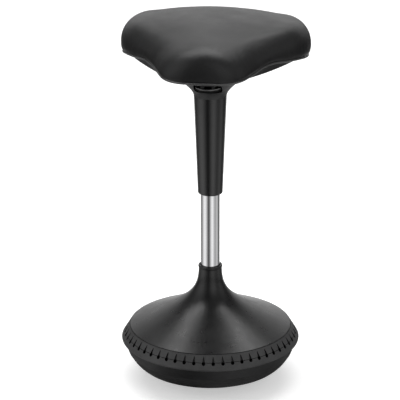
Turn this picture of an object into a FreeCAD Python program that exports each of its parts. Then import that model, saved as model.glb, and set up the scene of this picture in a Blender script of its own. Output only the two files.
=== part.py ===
import FreeCAD, Part
import math
import os

V = FreeCAD.Vector

# Wobble stool: a weighted, round-bottomed base, a sliding column on a gas lift, and a
# saddle-shaped cushion. Millimetres, floor at z = 0, nose of the seat towards -Y.

# Overall sizes
BASE_WIDTH = 356.0  # across the widest edge of the slotted band
SEAT_WIDTH = 377.0
SEAT_FRONT = 160.0  # from the axis to the tip of the nose
SEAT_BACK = 180.0  # from the axis to the rear edge
SEAT_RISE = 143.0  # crown of the cushion above the top of the column
COLUMN_LENGTH = 203.4
TRAVEL_DOWN = 150.0  # what the gas lift gives below and above the drawn height
TRAVEL_UP = 50.0

# Clearances
RUN = 0.05  # a part that turns or slides in another
SEAT_GAP = 0.1  # two fixed faces that rest on each other
SOFT_GAP = 0.3  # foam or rubber beside a hard part
END_GAP = 2.0  # left between two sliding groups at the end of their travel

# Base bowl
DOME_RADIUS = 317.0
PAD_RADIUS = 40.0  # flat patch that the stool stands on
SOLE_TOP = 58.0
SOLE_WALL = 6.0
SHELL_WALL = 3.5
DOME_EDGE = 141.8  # radius where the dome turns up into the side
SIDE_MID = (155.3, 44.0)
SOLE_LIP = 163.8

# Slotted band round the base
BAND_BOTTOM = 85.0
BAND_TOP = 111.6
RIM_RADIUS = 161.0  # edge of the cover
RIM_HEIGHT = 112.0
GROOVE = 0.8  # dark line between the cover and the band
BAND_WALL = 3.0
SEAM_SHARE = 0.53  # where the band is split, measured down its slope
SLOTS = 56
SEAM_LINE = 0.8
NOTCH_HALF = 2.9
NOTCH_TIP = 0.5
NOTCH_LENGTH = 12.0
POCKET_RADIUS = 3.4
POCKET_DROP = 2.5  # centre of each pocket below the seam
TOOTH_FOOT = 2.7  # foot of each tooth above the seam, and the gap round it in its notch
TOOTH_LENGTH = 4.6
TOOTH_SLACK = 0.7
TOOTH_SUNK = 1.8  # tooth below the face of the band

# Trumpet cover
COVER_TOP = 238.5
NECK_RADIUS = 23.3
NECK_HEIGHT = 231.3
COVER_WALL = 2.6
BEAD = 0.7

# Ballast, hub and gas lift
BALLAST_RADIUS = 108.0
BALLAST_TOP = 38.0
TUBE_RADIUS = 19.0
TUBE_WALL = 1.6
TUBE_FOOT = 16.0
HUB_WALL = 4.0
HUB_TOP = 118.0
HUB_FLANGE = 46.0
HUB_PLATE = 4.0
HUB_BOLTS = 4
HUB_BOLT_RADIUS = 4.0
HUB_BOLT_CIRCLE = 32.0
PISTON_TUBE = 14.0
PISTON_TUBE_WALL = 1.6
ROD_RADIUS = 5.0
JOURNAL_RADIUS = 4.0
BUSH_LENGTH = 92.0
BUSH_COLLAR = 3.0
RACE_THICKNESS = 1.5
RACE_RADIUS = 15.0
BALL_RADIUS = 2.0
BALLS = 8
BALL_CIRCLE = 10.5
PISTON_LENGTH = 14.0
FOOT_CLEAR = 55.0  # pressure tube above the bumper at the bottom of the travel
SEAL_CLEAR = 20.0  # piston above the rod seal at the top of the travel
ROD_SEAL = 26.0
BUMPER_LENGTH = 14.0
BUMPER_RADIUS = 13.0

# Column and funnel collar
COLUMN_LIP_RADIUS = 24.6
COLUMN_TOP_RADIUS = 32.4
COLUMN_WALL = 2.4
SPIGOT_LENGTH = 10.0
COLLAR_HEIGHT = 38.8
COLLAR_TOP_RADIUS = 64.0
SLOT_HALF = 28.0
SLOT_LOW = 16.0  # slot's edges above the top of the column
SLOT_HIGH = 37.0

# Seat bracket, lever and valve pin
TAPER_RISE = 6.0  # start of the lift's taper above the top of the column
TAPER_LENGTH = 32.0
TAPER_DROP = 0.8
SOCKET_WALL = 4.5
BRACKET_DISC = 3.0
CHEEK_INNER = 20.0
CHEEK_PLATE = 3.0
PLATE_RISE = 56.0
PLATE_THICKNESS = 3.0
PLATE_HALF = 58.0
PLATE_CORNER = 14.0
PLATE_BOLT = 3.0
PLATE_BOLT_PLACE = 50.0
PIN_RADIUS = 3.0
PIN_RISE = 6.3  # how far the valve pin stands out of the tube
PIVOT_Y = -24.5
PIVOT_RISE = 37.0
PIVOT_RADIUS = 2.5
LEVER_HUB = 5.0
ARM_WIDTH = 7.0
ARM_PLACE = 11.0
PADDLE_RADIUS = 26.0
PADDLE_Y = -32.0
PADDLE_RISE = 22.8
PADDLE_PLATE = 3.0
PADDLE_RIM = 2.6
PADDLE_RIM_HEIGHT = 3.0

# Seat pan and board
PAN_WALL = 3.0
PAN_BORE = 46.0
RIB = 2.6
RIBS = 8
BOARD_THICKNESS = 10.0
BOARD_GAP = 0.6
PAN_SCREW = 1.8
PAN_SCREW_HEAD = 4.0
PAN_SCREWS = ((84.0, 62.0), (-84.0, 62.0), (70.0, -40.0), (-70.0, -40.0), (0.0, 128.0), (0.0, -84.0))

# Seat stations from the nose to the rear edge. Each row holds the place along the seat
# and the half width, both as shares, then depths below the crown in millimetres: middle
# of the top, fall to the shoulder, widest line, lower edge, pan corner and pan floor.
STATIONS = (
    (0.000, 0.12, 46.0, 2.0, 56.0, 66.0, 67.0, 68.0),
    (0.006, 0.24, 34.0, 4.0, 53.5, 68.0, 69.5, 71.5),
    (0.022, 0.335, 23.0, 7.0, 51.0, 68.0, 70.5, 74.0),
    (0.055, 0.41, 14.0, 8.0, 48.0, 67.5, 71.5, 77.0),
    (0.120, 0.475, 7.0, 10.0, 46.0, 67.0, 74.5, 84.0),
    (0.230, 0.55, 3.5, 11.0, 46.0, 67.0, 80.0, 96.0),
    (0.380, 0.71, 1.0, 12.0, 48.0, 65.5, 83.0, 101.0),
    (0.550, 0.92, 0.0, 13.0, 52.0, 68.0, 80.0, 101.0),
    (0.720, 1.00, 1.0, 15.0, 56.0, 80.0, 84.0, 99.0),
    (0.850, 0.98, 4.5, 15.0, 55.0, 83.0, 88.0, 95.0),
    (0.930, 0.89, 10.0, 12.0, 52.0, 79.0, 84.0, 88.0),
    (0.975, 0.74, 18.0, 9.0, 49.0, 72.0, 76.0, 80.0),
    (0.993, 0.57, 27.0, 6.0, 48.0, 65.5, 70.0, 74.0),
    (1.000, 0.34, 38.0, 3.0, 48.0, 59.0, 62.0, 65.0),
)
SHOULDER_SHARE = 0.72
EDGE_INSET = 11.0
PAN_CORNER = 8.0
PAN_FRONT = 20.0  # pan set back behind the tip of the nose, and in from the rear edge
PAN_REAR = 20.0

# Heights that follow: the column's lip just clears the cover at the bottom of the travel,
# and the seat group stands on the column
COLUMN_LIP = COVER_TOP + END_GAP + TRAVEL_DOWN
COLUMN_TOP = COLUMN_LIP + COLUMN_LENGTH
COLLAR_TOP = COLUMN_TOP + COLLAR_HEIGHT
PAN_BOSS_LOW = COLLAR_TOP + SEAT_GAP
TAPER_START = COLUMN_TOP + TAPER_RISE
SOCKET_TOP = TAPER_START + TAPER_LENGTH
PLATE_LOW = COLUMN_TOP + PLATE_RISE
PIVOT_Z = COLUMN_TOP + PIVOT_RISE
PADDLE_LOW = COLUMN_TOP + PADDLE_RISE
SEAT_TOP = COLUMN_TOP + SEAT_RISE
SOCKET_LOW = TAPER_START + END_GAP
TUBE_TOP = SOCKET_LOW - TRAVEL_DOWN - BUSH_COLLAR - END_GAP

parts = {}


def line(a, b):
    return Part.LineSegment(a, b).toShape()


def arc(a, b, c):
    return Part.Arc(a, b, c).toShape()


def curve(poles):
    bezier = Part.BezierCurve()
    bezier.setPoles(poles)
    return bezier.toShape()


def flat(r, z):
    return V(r, 0, z)


def turned(*path):
    """Revolve a closed (radius, height) path about Z. A step is a point, an arc as
    (middle, end), or a curve as (pull, pull, end)."""
    edges = []
    here = flat(*path[0])
    for step in path[1:] + (path[0],):
        if isinstance(step[0], tuple):
            pts = [flat(*p) for p in step]
            edges.append(arc(here, *pts) if len(pts) == 2 else curve([here] + pts))
            here = pts[-1]
        else:
            there = flat(*step)
            if here.distanceToPoint(there) > 1e-6:
                edges.append(line(here, there))
            here = there
    face = Part.Face(Part.Wire(edges))
    return face.revolve(V(0, 0, 0), V(0, 0, 1), 360)


def ring(inner, outer, low, high):
    return turned((inner, low), (outer, low), (outer, high), (inner, high))


def rod(radius, low, high, x=0.0, y=0.0):
    return Part.makeCylinder(radius, high - low, V(x, y, low))


def block(x0, x1, y0, y1, z0, z1):
    return Part.makeBox(x1 - x0, y1 - y0, z1 - z0, V(x0, y0, z0))


def around(shape, count, first=0.0):
    copies = []
    for i in range(count):
        copy = shape.copy()
        copy.rotate(V(0, 0, 0), V(0, 0, 1), first + 360.0 * i / count)
        copies.append(copy)
    return copies


def extruded(points, along):
    wire = Part.makePolygon(points + points[:1])
    return Part.Face(wire).extrude(along)


def hexagon(across, low, high, x, y):
    size = across / math.sqrt(3)
    pts = [
        V(x + size * math.cos(math.radians(60 * k)), y + size * math.sin(math.radians(60 * k)), low)
        for k in range(6)
    ]
    return extruded(pts, V(0, 0, high - low))


# base bowl: sole, shell and ballast share one dome centre
DOME_CENTRE = math.sqrt(DOME_RADIUS**2 - PAD_RADIUS**2)


def dome_height(radius, depth):
    return DOME_CENTRE - math.sqrt((DOME_RADIUS - depth) ** 2 - radius**2)


def pad_radius(depth):
    return math.sqrt((DOME_RADIUS - depth) ** 2 - (DOME_CENTRE - depth) ** 2)


def bowl(depth):
    """Points of the bowl's curve, set inwards by a depth: pad, dome, knee, side, lip."""
    pad = pad_radius(depth)
    knee_slope = math.asin(DOME_EDGE / DOME_RADIUS)
    knee = (DOME_EDGE - depth * math.sin(knee_slope), 0)
    knee = (knee[0], dome_height(knee[0], depth))
    middle = ((pad + knee[0]) / 2, dome_height((pad + knee[0]) / 2, depth))
    side = (SIDE_MID[0] - depth * math.sin(math.radians(48)), SIDE_MID[1] + depth * math.cos(math.radians(48)))
    lip = (SOLE_LIP - depth / math.sin(math.radians(62)), SOLE_TOP)
    return pad, middle, knee, side, lip


pad0, mid0, knee0, side0, lip0 = bowl(0)
SOLE_SIDE = 3.6  # the rubber is thinner up the side
pad1, mid1, knee1, _, _ = bowl(SOLE_WALL)
_, _, _, side1, lip1 = bowl(SOLE_SIDE)
pad2, mid2, knee2, _, _ = bowl(SOLE_WALL + SHELL_WALL)
_, _, _, side2, lip2 = bowl(SOLE_SIDE + SHELL_WALL)

parts["sole"] = turned(
    (0, 0), (pad0, 0), (mid0, knee0), (side0, lip0), lip1, (side1, knee1), (mid1, (pad1, SOLE_WALL)), (0, SOLE_WALL)
)

# slotted band: one sloping line from the cover's rim to the widest edge
BAND_RADIUS = BASE_WIDTH / 2
band_run = BAND_RADIUS - RIM_RADIUS - GROOVE
band_drop = BAND_TOP - BAND_BOTTOM
band_tilt = math.atan2(band_run, band_drop)
band_wall = BAND_WALL / math.cos(band_tilt)
seam = BAND_TOP - SEAM_SHARE * band_drop
FLANGE = 2.5
FLANGE_REACH = 13.0
LEDGE = 81.0
SEAT_STEP = 2.9  # rim of the cover stands on the flange


def band(z, inwards=0.0):
    return RIM_RADIUS + GROOVE + (BAND_TOP - z) * math.tan(band_tilt) - inwards


flange_top = RIM_HEIGHT - SEAT_STEP - SEAT_GAP
lip_top = BAND_TOP - GROOVE
toothed_ring = turned(
    (band(lip_top), lip_top),
    (band(seam), seam),
    (band(seam, band_wall), seam),
    (band(flange_top - FLANGE, band_wall), flange_top - FLANGE),
    (RIM_RADIUS - FLANGE_REACH, flange_top - FLANGE),
    (RIM_RADIUS - FLANGE_REACH, flange_top),
    (RIM_RADIUS + GROOVE / 2, flange_top),
    (RIM_RADIUS + GROOVE / 2, lip_top),
)
low_seam = seam - SEAM_LINE
ring_bore = band(low_seam, band_wall) - GROOVE
socket_ring = turned(
    (band(low_seam), low_seam),
    (BAND_RADIUS, BAND_BOTTOM),
    ((BAND_RADIUS - 1.0, BAND_BOTTOM - 2.9), (BAND_RADIUS - 3.8, LEDGE)),
    (ring_bore, LEDGE),
    (ring_bore, low_seam - 1.4),
    (band(low_seam, band_wall), low_seam),
)

# a frame on the band's face at the seam: u around, v up the slope, w out of the face
face_point = V(band(seam), 0, seam)
face_up = V(-math.sin(band_tilt), 0, math.cos(band_tilt))
face_out = V(math.cos(band_tilt), 0, math.sin(band_tilt))


def on_band(u, v, w):
    return face_point + V(0, u, 0) + face_up * v + face_out * w


def band_prism(points, deep, proud):
    return extruded([on_band(u, v, -deep) for u, v in points], face_out * (deep + proud))


notch = band_prism(
    [(-NOTCH_HALF, -1.0), (NOTCH_HALF, -1.0), (NOTCH_TIP, NOTCH_LENGTH), (-NOTCH_TIP, NOTCH_LENGTH)],
    BAND_WALL + 1.5,
    1.0,
)
pocket = Part.makeCylinder(
    POCKET_RADIUS, BAND_WALL + 2.0, on_band(0, -POCKET_DROP, -BAND_WALL - 1.0), face_out
)
parts["toothed_ring"] = toothed_ring.cut(Part.Compound(around(notch, SLOTS, 2.0)))
parts["socket_ring"] = socket_ring.cut(Part.Compound(around(pocket, SLOTS, 2.0)))

# base shell: bowl floor, side wall, ledge for the band, and the tooth crown
shell_lip = SOLE_TOP + SOFT_GAP
wall_top = flange_top - FLANGE - 1.4
wall_out = ring_bore - SEAT_GAP - 0.2
bend = low_seam - 1.8
bend_in = 3.4
outer_step = BAND_RADIUS - 5.8
shell = turned(
    (0, SOLE_WALL),
    (pad1, SOLE_WALL),
    (mid1, knee1),
    (side1, lip1),
    (lip1[0], shell_lip),
    (SOLE_LIP + 1.0, shell_lip),
    (outer_step, LEDGE - 2.6),
    (outer_step, LEDGE - SEAT_GAP),
    (wall_out, LEDGE - SEAT_GAP),
    (wall_out, bend),
    (band(wall_top, band_wall + 1.0), wall_top),
    (band(wall_top, band_wall + 1.0 + bend_in), wall_top),
    (wall_out - bend_in, bend - 0.6),
    (wall_out - bend_in, LEDGE - 2.4),
    (outer_step - 3.8, LEDGE - 3.8),
    (lip2[0] + 1.0, shell_lip + 2.0),
    lip2,
    (side2, knee2),
    (mid2, (pad2, SOLE_WALL + SHELL_WALL)),
    (0, SOLE_WALL + SHELL_WALL),
)


def notch_half(v):
    return NOTCH_HALF + (NOTCH_TIP - NOTCH_HALF) * (v + 1.0) / (NOTCH_LENGTH + 1.0)


foot_half = notch_half(TOOTH_FOOT) - TOOTH_SLACK
tip_half = notch_half(TOOTH_FOOT + TOOTH_LENGTH) - TOOTH_SLACK
tip_v = TOOTH_FOOT + TOOTH_LENGTH
tooth = band_prism(
    [(-foot_half, TOOTH_FOOT), (foot_half, TOOTH_FOOT), (tip_half, tip_v), (-tip_half, tip_v)],
    BAND_WALL + 1.6,
    -TOOTH_SUNK,
)
floor_top = SOLE_WALL + SHELL_WALL
BOLT_HEAD = 2.2
BOLT_HEAD_RADIUS = 7.0
bolt_x = HUB_BOLT_CIRCLE
for hole in around(rod(HUB_BOLT_RADIUS + SEAT_GAP, 0, floor_top + 1, bolt_x), HUB_BOLTS, 45):
    shell = shell.cut(hole)
for recess in around(rod(BOLT_HEAD_RADIUS + SEAT_GAP, 0, SOLE_WALL + BOLT_HEAD, bolt_x), HUB_BOLTS, 45):
    shell = shell.cut(recess)
parts["base_shell"] = shell.fuse(around(tooth, SLOTS, 2.0)).removeSplitter()

deep = SOLE_WALL + SHELL_WALL + SEAT_GAP
hub_outer = TUBE_RADIUS + RUN + HUB_WALL
ballast_bore = hub_outer + SOFT_GAP
ballast_mid = (BALLAST_RADIUS + pad2) / 2
ballast = turned(
    (ballast_bore, floor_top + SEAT_GAP),
    (pad_radius(deep), floor_top + SEAT_GAP),
    ((ballast_mid, dome_height(ballast_mid, deep)), (BALLAST_RADIUS, dome_height(BALLAST_RADIUS, deep))),
    (BALLAST_RADIUS, BALLAST_TOP - 1.5),
    (BALLAST_RADIUS - 1.5, BALLAST_TOP),
    (ballast_bore, BALLAST_TOP),
)
for hole in around(rod(HUB_BOLT_RADIUS + SEAT_GAP, 0, BALLAST_TOP + 1, bolt_x), HUB_BOLTS, 45):
    ballast = ballast.cut(hole)
parts["ballast"] = ballast

# hub: socket for the lift's tube, bolted down through the ballast
hub_low = TUBE_FOOT - 4.0
flange_low = BALLAST_TOP
hub = turned(
    (TUBE_RADIUS - 8.0, hub_low),
    (hub_outer, hub_low),
    (hub_outer, flange_low),
    (HUB_FLANGE, flange_low),
    (HUB_FLANGE, flange_low + HUB_PLATE),
    (hub_outer, flange_low + HUB_PLATE),
    (hub_outer, HUB_TOP - 1.5),
    (hub_outer - 1.5, HUB_TOP),
    (TUBE_RADIUS + RUN, HUB_TOP),
    (TUBE_RADIUS + RUN, TUBE_FOOT),
    (TUBE_RADIUS - 8.0, TUBE_FOOT),
)
gusset_top = flange_low + HUB_PLATE
gusset = extruded(
    [V(hub_outer - 1, -2, gusset_top - 1), V(HUB_FLANGE - 3, -2, gusset_top - 1), V(hub_outer - 1, -2, HUB_TOP - 40)],
    V(0, 4, 0),
)
hub = hub.fuse(around(gusset, HUB_BOLTS, 0)).removeSplitter()
for hole in around(rod(HUB_BOLT_RADIUS + SEAT_GAP, 30, gusset_top + 1, bolt_x), HUB_BOLTS, 45):
    hub = hub.cut(hole)
parts["hub_socket"] = hub

bolt = rod(HUB_BOLT_RADIUS, SOLE_WALL + BOLT_HEAD, gusset_top + 10, bolt_x)
bolt = bolt.fuse(rod(BOLT_HEAD_RADIUS, SOLE_WALL + SEAT_GAP, SOLE_WALL + BOLT_HEAD, bolt_x))
bolt = bolt.fuse(hexagon(13.0, gusset_top, gusset_top + 6.5, bolt_x, 0)).removeSplitter()
parts["hub_bolts"] = Part.Compound(around(bolt, HUB_BOLTS, 45))

# trumpet cover: one free curve from the neck to the rim, with a constant wall
RIM_SLOPE = math.radians(24.06)
NECK_PULL = 55.7
RIM_PULL = 115.2
rim_pull = (RIM_RADIUS - RIM_PULL * math.cos(RIM_SLOPE), RIM_HEIGHT + RIM_PULL * math.sin(RIM_SLOPE))
back_r = COVER_WALL * math.sin(RIM_SLOPE)
back_z = COVER_WALL * math.cos(RIM_SLOPE)
rim_land = 3.4
inner_rim = (RIM_RADIUS - rim_land, RIM_HEIGHT + (rim_land - back_r) * math.tan(RIM_SLOPE) - back_z)
neck_in = NECK_RADIUS - COVER_WALL
cover = turned(
    (neck_in, COVER_TOP),
    (NECK_RADIUS - 0.3, COVER_TOP),
    ((NECK_RADIUS + BEAD, COVER_TOP - 1.6), (NECK_RADIUS + BEAD, COVER_TOP - 3.2)),
    ((NECK_RADIUS + BEAD * 0.35, COVER_TOP - 5.0), (NECK_RADIUS, NECK_HEIGHT)),
    ((NECK_RADIUS, NECK_HEIGHT - NECK_PULL), rim_pull, (RIM_RADIUS, RIM_HEIGHT)),
    (RIM_RADIUS, RIM_HEIGHT - SEAT_STEP),
    (RIM_RADIUS - rim_land, RIM_HEIGHT - SEAT_STEP),
    inner_rim,
    (
        (rim_pull[0] - back_r, rim_pull[1] - back_z),
        (neck_in, NECK_HEIGHT - 2.0 - NECK_PULL),
        (neck_in, NECK_HEIGHT - 2.0),
    ),
)
SCREW_CIRCLE = 153.0
SCREW_RADIUS = 1.5
SCREW_HEAD = 3.0
SCREWS = 6
screw_land = rod(3.6, RIM_HEIGHT - SEAT_STEP, RIM_HEIGHT + 1.6, SCREW_CIRCLE)
screw_top = RIM_HEIGHT + 0.4
for boss in around(screw_land, SCREWS, 30):
    cover = cover.fuse(boss)
for hole in around(rod(SCREW_RADIUS, 100, screw_top, SCREW_CIRCLE), SCREWS, 30):
    cover = cover.cut(hole)
    parts["toothed_ring"] = parts["toothed_ring"].cut(hole)
parts["base_cover"] = cover.removeSplitter()
screw = rod(SCREW_RADIUS, flange_top - FLANGE, screw_top, SCREW_CIRCLE)
screw = screw.fuse(rod(SCREW_HEAD, flange_top - FLANGE - 2.2, flange_top - FLANGE, SCREW_CIRCLE)).removeSplitter()
parts["cover_screws"] = Part.Compound(around(screw, SCREWS, 30))

# gas lift, fixed half: chromed tube, guide bush and dust ring
parts["outer_tube"] = turned(
    (JOURNAL_RADIUS + RUN, TUBE_FOOT),
    (TUBE_RADIUS - 1.0, TUBE_FOOT),
    (TUBE_RADIUS, TUBE_FOOT + 1.0),
    (TUBE_RADIUS, TUBE_TOP - 0.6),
    (TUBE_RADIUS - 0.6, TUBE_TOP),
    (TUBE_RADIUS - TUBE_WALL, TUBE_TOP),
    (TUBE_RADIUS - TUBE_WALL, TUBE_FOOT + 3.0),
    (JOURNAL_RADIUS + RUN, TUBE_FOOT + 3.0),
)
bush_outer = TUBE_RADIUS - TUBE_WALL - RUN
parts["guide_bush"] = turned(
    (PISTON_TUBE + RUN, TUBE_TOP - BUSH_LENGTH),
    (bush_outer, TUBE_TOP - BUSH_LENGTH),
    (bush_outer, TUBE_TOP),
    (TUBE_RADIUS - 0.3, TUBE_TOP),
    (TUBE_RADIUS - 0.3, TUBE_TOP + BUSH_COLLAR),
    (PISTON_TUBE + 1.5, TUBE_TOP + BUSH_COLLAR),
    (PISTON_TUBE + RUN, TUBE_TOP + BUSH_COLLAR - 1.5),
)
DUST_RING = 9.0
parts["dust_ring"] = turned(
    (TUBE_RADIUS + RUN, COVER_TOP - DUST_RING),
    (neck_in - RUN, COVER_TOP - DUST_RING),
    (neck_in - RUN, COVER_TOP - 0.8),
    (TUBE_RADIUS + 0.8, COVER_TOP + 0.2),
    (TUBE_RADIUS + RUN, COVER_TOP - 0.4),
)

# gas lift, turning rod on its ball bearing
race_low = TUBE_FOOT + 3.0
ball_low = race_low + RACE_THICKNESS + RUN
race_high = ball_low + 2 * BALL_RADIUS + RUN
shoulder = race_high + RACE_THICKNESS
parts["lower_race"] = ring(JOURNAL_RADIUS + 1.0, RACE_RADIUS, race_low, race_low + RACE_THICKNESS)
ball_centre = ball_low + BALL_RADIUS
cage = ring(JOURNAL_RADIUS + 2.2, RACE_RADIUS - 0.6, ball_centre - 0.7, ball_centre + 0.7)
ball = Part.makeSphere(BALL_RADIUS, V(BALL_CIRCLE, 0, ball_centre))
parts["ball_cage"] = cage.fuse(around(ball, BALLS)).removeSplitter()
parts["upper_race"] = ring(JOURNAL_RADIUS + RUN, RACE_RADIUS, race_high, shoulder)
bumper_top = shoulder + BUMPER_LENGTH
PISTON_TUBE_FOOT = bumper_top + TRAVEL_DOWN + FOOT_CLEAR
PISTON_HEIGHT = PISTON_TUBE_FOOT + ROD_SEAL + TRAVEL_UP + SEAL_CLEAR
groove_high = TUBE_FOOT - 0.3
CLIP = 1.4
rod_foot = groove_high - CLIP - 2.2
piston_rod = turned(
    (0, rod_foot),
    (JOURNAL_RADIUS - 0.5, rod_foot),
    (JOURNAL_RADIUS, rod_foot + 0.5),
    (JOURNAL_RADIUS, groove_high - CLIP),
    (JOURNAL_RADIUS - 0.8, groove_high - CLIP),
    (JOURNAL_RADIUS - 0.8, groove_high),
    (JOURNAL_RADIUS, groove_high),
    (JOURNAL_RADIUS, shoulder),
    (ROD_RADIUS, shoulder),
    (ROD_RADIUS, PISTON_HEIGHT),
    (JOURNAL_RADIUS, PISTON_HEIGHT),
    (JOURNAL_RADIUS, PISTON_HEIGHT + PISTON_LENGTH + 1.0),
    (0, PISTON_HEIGHT + PISTON_LENGTH + 1.0),
)
parts["piston_rod"] = piston_rod
clip = ring(JOURNAL_RADIUS - 0.8 + RUN, JOURNAL_RADIUS + 2.6, groove_high - CLIP + RUN, groove_high - RUN)
parts["retaining_clip"] = clip.cut(block(0, 10, -1.2, 1.2, 0, 30))
parts["bumper"] = turned(
    (ROD_RADIUS + RUN, shoulder),
    (BUMPER_RADIUS, shoulder),
    (BUMPER_RADIUS, bumper_top - 3),
    (BUMPER_RADIUS - 2.5, bumper_top),
    (ROD_RADIUS + RUN, bumper_top),
)
piston_outer = PISTON_TUBE - PISTON_TUBE_WALL - RUN
seal_mid = PISTON_HEIGHT + PISTON_LENGTH / 2
parts["piston"] = turned(
    (JOURNAL_RADIUS + RUN, PISTON_HEIGHT),
    (piston_outer, PISTON_HEIGHT),
    (piston_outer, seal_mid - 1.2),
    (piston_outer - 1.2, seal_mid - 1.2),
    (piston_outer - 1.2, seal_mid + 1.2),
    (piston_outer, seal_mid + 1.2),
    (piston_outer, PISTON_HEIGHT + PISTON_LENGTH),
    (JOURNAL_RADIUS + RUN, PISTON_HEIGHT + PISTON_LENGTH),
)

# gas lift, sliding half: pressure tube with its seal and valve
tube_bore = PISTON_TUBE - PISTON_TUBE_WALL
VALVE_LOW = TAPER_START - 10.0
parts["pressure_tube"] = turned(
    (tube_bore, PISTON_TUBE_FOOT),
    (PISTON_TUBE - 0.6, PISTON_TUBE_FOOT),
    (PISTON_TUBE, PISTON_TUBE_FOOT + 0.6),
    (PISTON_TUBE, TAPER_START),
    (PISTON_TUBE - TAPER_DROP, SOCKET_TOP),
    (tube_bore - TAPER_DROP, SOCKET_TOP),
    (tube_bore - TAPER_DROP, TAPER_START),
    (tube_bore, TAPER_START - 6.0),
)
parts["rod_seal"] = ring(ROD_RADIUS + RUN, tube_bore - RUN, PISTON_TUBE_FOOT, PISTON_TUBE_FOOT + ROD_SEAL)
valve_outer = tube_bore - TAPER_DROP - RUN
parts["valve_body"] = turned(
    (PIN_RADIUS + RUN, VALVE_LOW + 12.0),
    (valve_outer - 2.0, VALVE_LOW),
    (valve_outer, VALVE_LOW + 2.0),
    (valve_outer, SOCKET_TOP),
    (PIN_RADIUS + RUN, SOCKET_TOP),
)
pin_top = SOCKET_TOP + PIN_RISE
parts["release_pin"] = turned(
    (0, VALVE_LOW + 17.0), (PIN_RADIUS, VALVE_LOW + 17.0), (PIN_RADIUS, pin_top - 0.8), (PIN_RADIUS - 0.8, pin_top), (0, pin_top)
)

# column: tapered shroud that slides down over the chromed tube
spigot = COLUMN_TOP_RADIUS - 1.8
LIP_ROUND = 3.0
column_slope = (COLUMN_TOP_RADIUS - COLUMN_LIP_RADIUS) / (COLUMN_TOP - COLUMN_LIP)


def column_radius(z):
    return COLUMN_LIP_RADIUS + (z - COLUMN_LIP) * column_slope


BUSH_LOW = COLUMN_LIP + 3.0
COLUMN_BUSH = 16.0
pocket_radius = column_radius(BUSH_LOW) - COLUMN_WALL
parts["column"] = turned(
    (TUBE_RADIUS + 1.6, COLUMN_LIP),
    (COLUMN_LIP_RADIUS - LIP_ROUND, COLUMN_LIP),
    (
        (COLUMN_LIP_RADIUS - LIP_ROUND * 0.29, COLUMN_LIP + LIP_ROUND * 0.29),
        (column_radius(COLUMN_LIP + LIP_ROUND), COLUMN_LIP + LIP_ROUND),
    ),
    (COLUMN_TOP_RADIUS, COLUMN_TOP),
    (spigot, COLUMN_TOP),
    (spigot, COLUMN_TOP + SPIGOT_LENGTH),
    (spigot - COLUMN_WALL, COLUMN_TOP + SPIGOT_LENGTH),
    (spigot - COLUMN_WALL, COLUMN_TOP - 3.0),
    (pocket_radius, BUSH_LOW + COLUMN_BUSH),
    (pocket_radius, BUSH_LOW),
    (TUBE_RADIUS + 1.6, BUSH_LOW),
)
parts["column_bush"] = turned(
    (TUBE_RADIUS + RUN, BUSH_LOW + 1.0),
    (TUBE_RADIUS + 1.0, BUSH_LOW),
    (pocket_radius - RUN, BUSH_LOW),
    (pocket_radius - RUN, BUSH_LOW + COLUMN_BUSH - 1.0),
    (TUBE_RADIUS + RUN, BUSH_LOW + COLUMN_BUSH - 1.0),
)

# funnel collar with the lever's slot in front
collar_bore = spigot + RUN
shelf = COLUMN_TOP + SPIGOT_LENGTH + BRACKET_DISC + 0.4
collar = turned(
    (collar_bore, COLUMN_TOP + SEAT_GAP),
    (COLUMN_TOP_RADIUS, COLUMN_TOP + SEAT_GAP),
    (
        (COLUMN_TOP_RADIUS + 1.1, COLUMN_TOP + 10.0),
        (COLUMN_TOP_RADIUS + 9.6, COLUMN_TOP + 18.0),
        (COLLAR_TOP_RADIUS, COLLAR_TOP),
    ),
    (COLLAR_TOP_RADIUS - 3.4, COLLAR_TOP),
    (
        (COLUMN_TOP_RADIUS + 8.4, COLUMN_TOP + 21.0),
        (COLUMN_TOP_RADIUS + 0.8, shelf + 7.0),
        (collar_bore, shelf),
    ),
)
slot = block(-SLOT_HALF, SLOT_HALF, -COLLAR_TOP_RADIUS - 5, 0, COLUMN_TOP + SLOT_LOW, COLUMN_TOP + SLOT_HIGH)
slot_edges = [e for e in slot.Edges if abs(e.tangentAt(e.FirstParameter).y) > 0.99]
parts["seat_collar"] = collar.cut(slot.makeFillet(5.0, slot_edges))

# steel seat bracket: taper socket, two cheeks and the top plate
disc_low = COLUMN_TOP + SPIGOT_LENGTH + RUN
disc_radius = collar_bore - SEAT_GAP
socket_outer = PISTON_TUBE + SOCKET_WALL


def taper(z):
    return PISTON_TUBE - TAPER_DROP * (z - TAPER_START) / (SOCKET_TOP - TAPER_START) + RUN


bracket = turned(
    (taper(SOCKET_LOW), SOCKET_LOW),
    (socket_outer, SOCKET_LOW),
    (socket_outer, disc_low),
    (disc_radius, disc_low),
    (disc_radius, disc_low + BRACKET_DISC),
    (socket_outer, disc_low + BRACKET_DISC),
    (socket_outer, SOCKET_TOP),
    (taper(SOCKET_TOP), SOCKET_TOP),
)
cheek_low = disc_low + BRACKET_DISC - 0.5
cheek_foot = math.sqrt(disc_radius**2 - (CHEEK_INNER + CHEEK_PLATE) ** 2) - 0.5
cheek = extruded(
    [
        V(CHEEK_INNER, -cheek_foot, cheek_low),
        V(CHEEK_INNER, cheek_foot, cheek_low),
        V(CHEEK_INNER, 24, cheek_low + 12),
        V(CHEEK_INNER, 24, PLATE_LOW + 0.5),
        V(CHEEK_INNER, PIVOT_Y - 6, PLATE_LOW + 0.5),
        V(CHEEK_INNER, PIVOT_Y - 6, PIVOT_Z - 6),
        V(CHEEK_INNER, PIVOT_Y, PIVOT_Z - 9),
    ],
    V(CHEEK_PLATE, 0, 0),
)
other = cheek.mirror(V(0, 0, 0), V(1, 0, 0))
web = block(-CHEEK_INNER - 1, CHEEK_INNER + 1, 24 - CHEEK_PLATE, 24, cheek_low + 12, PLATE_LOW + 0.5)
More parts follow.
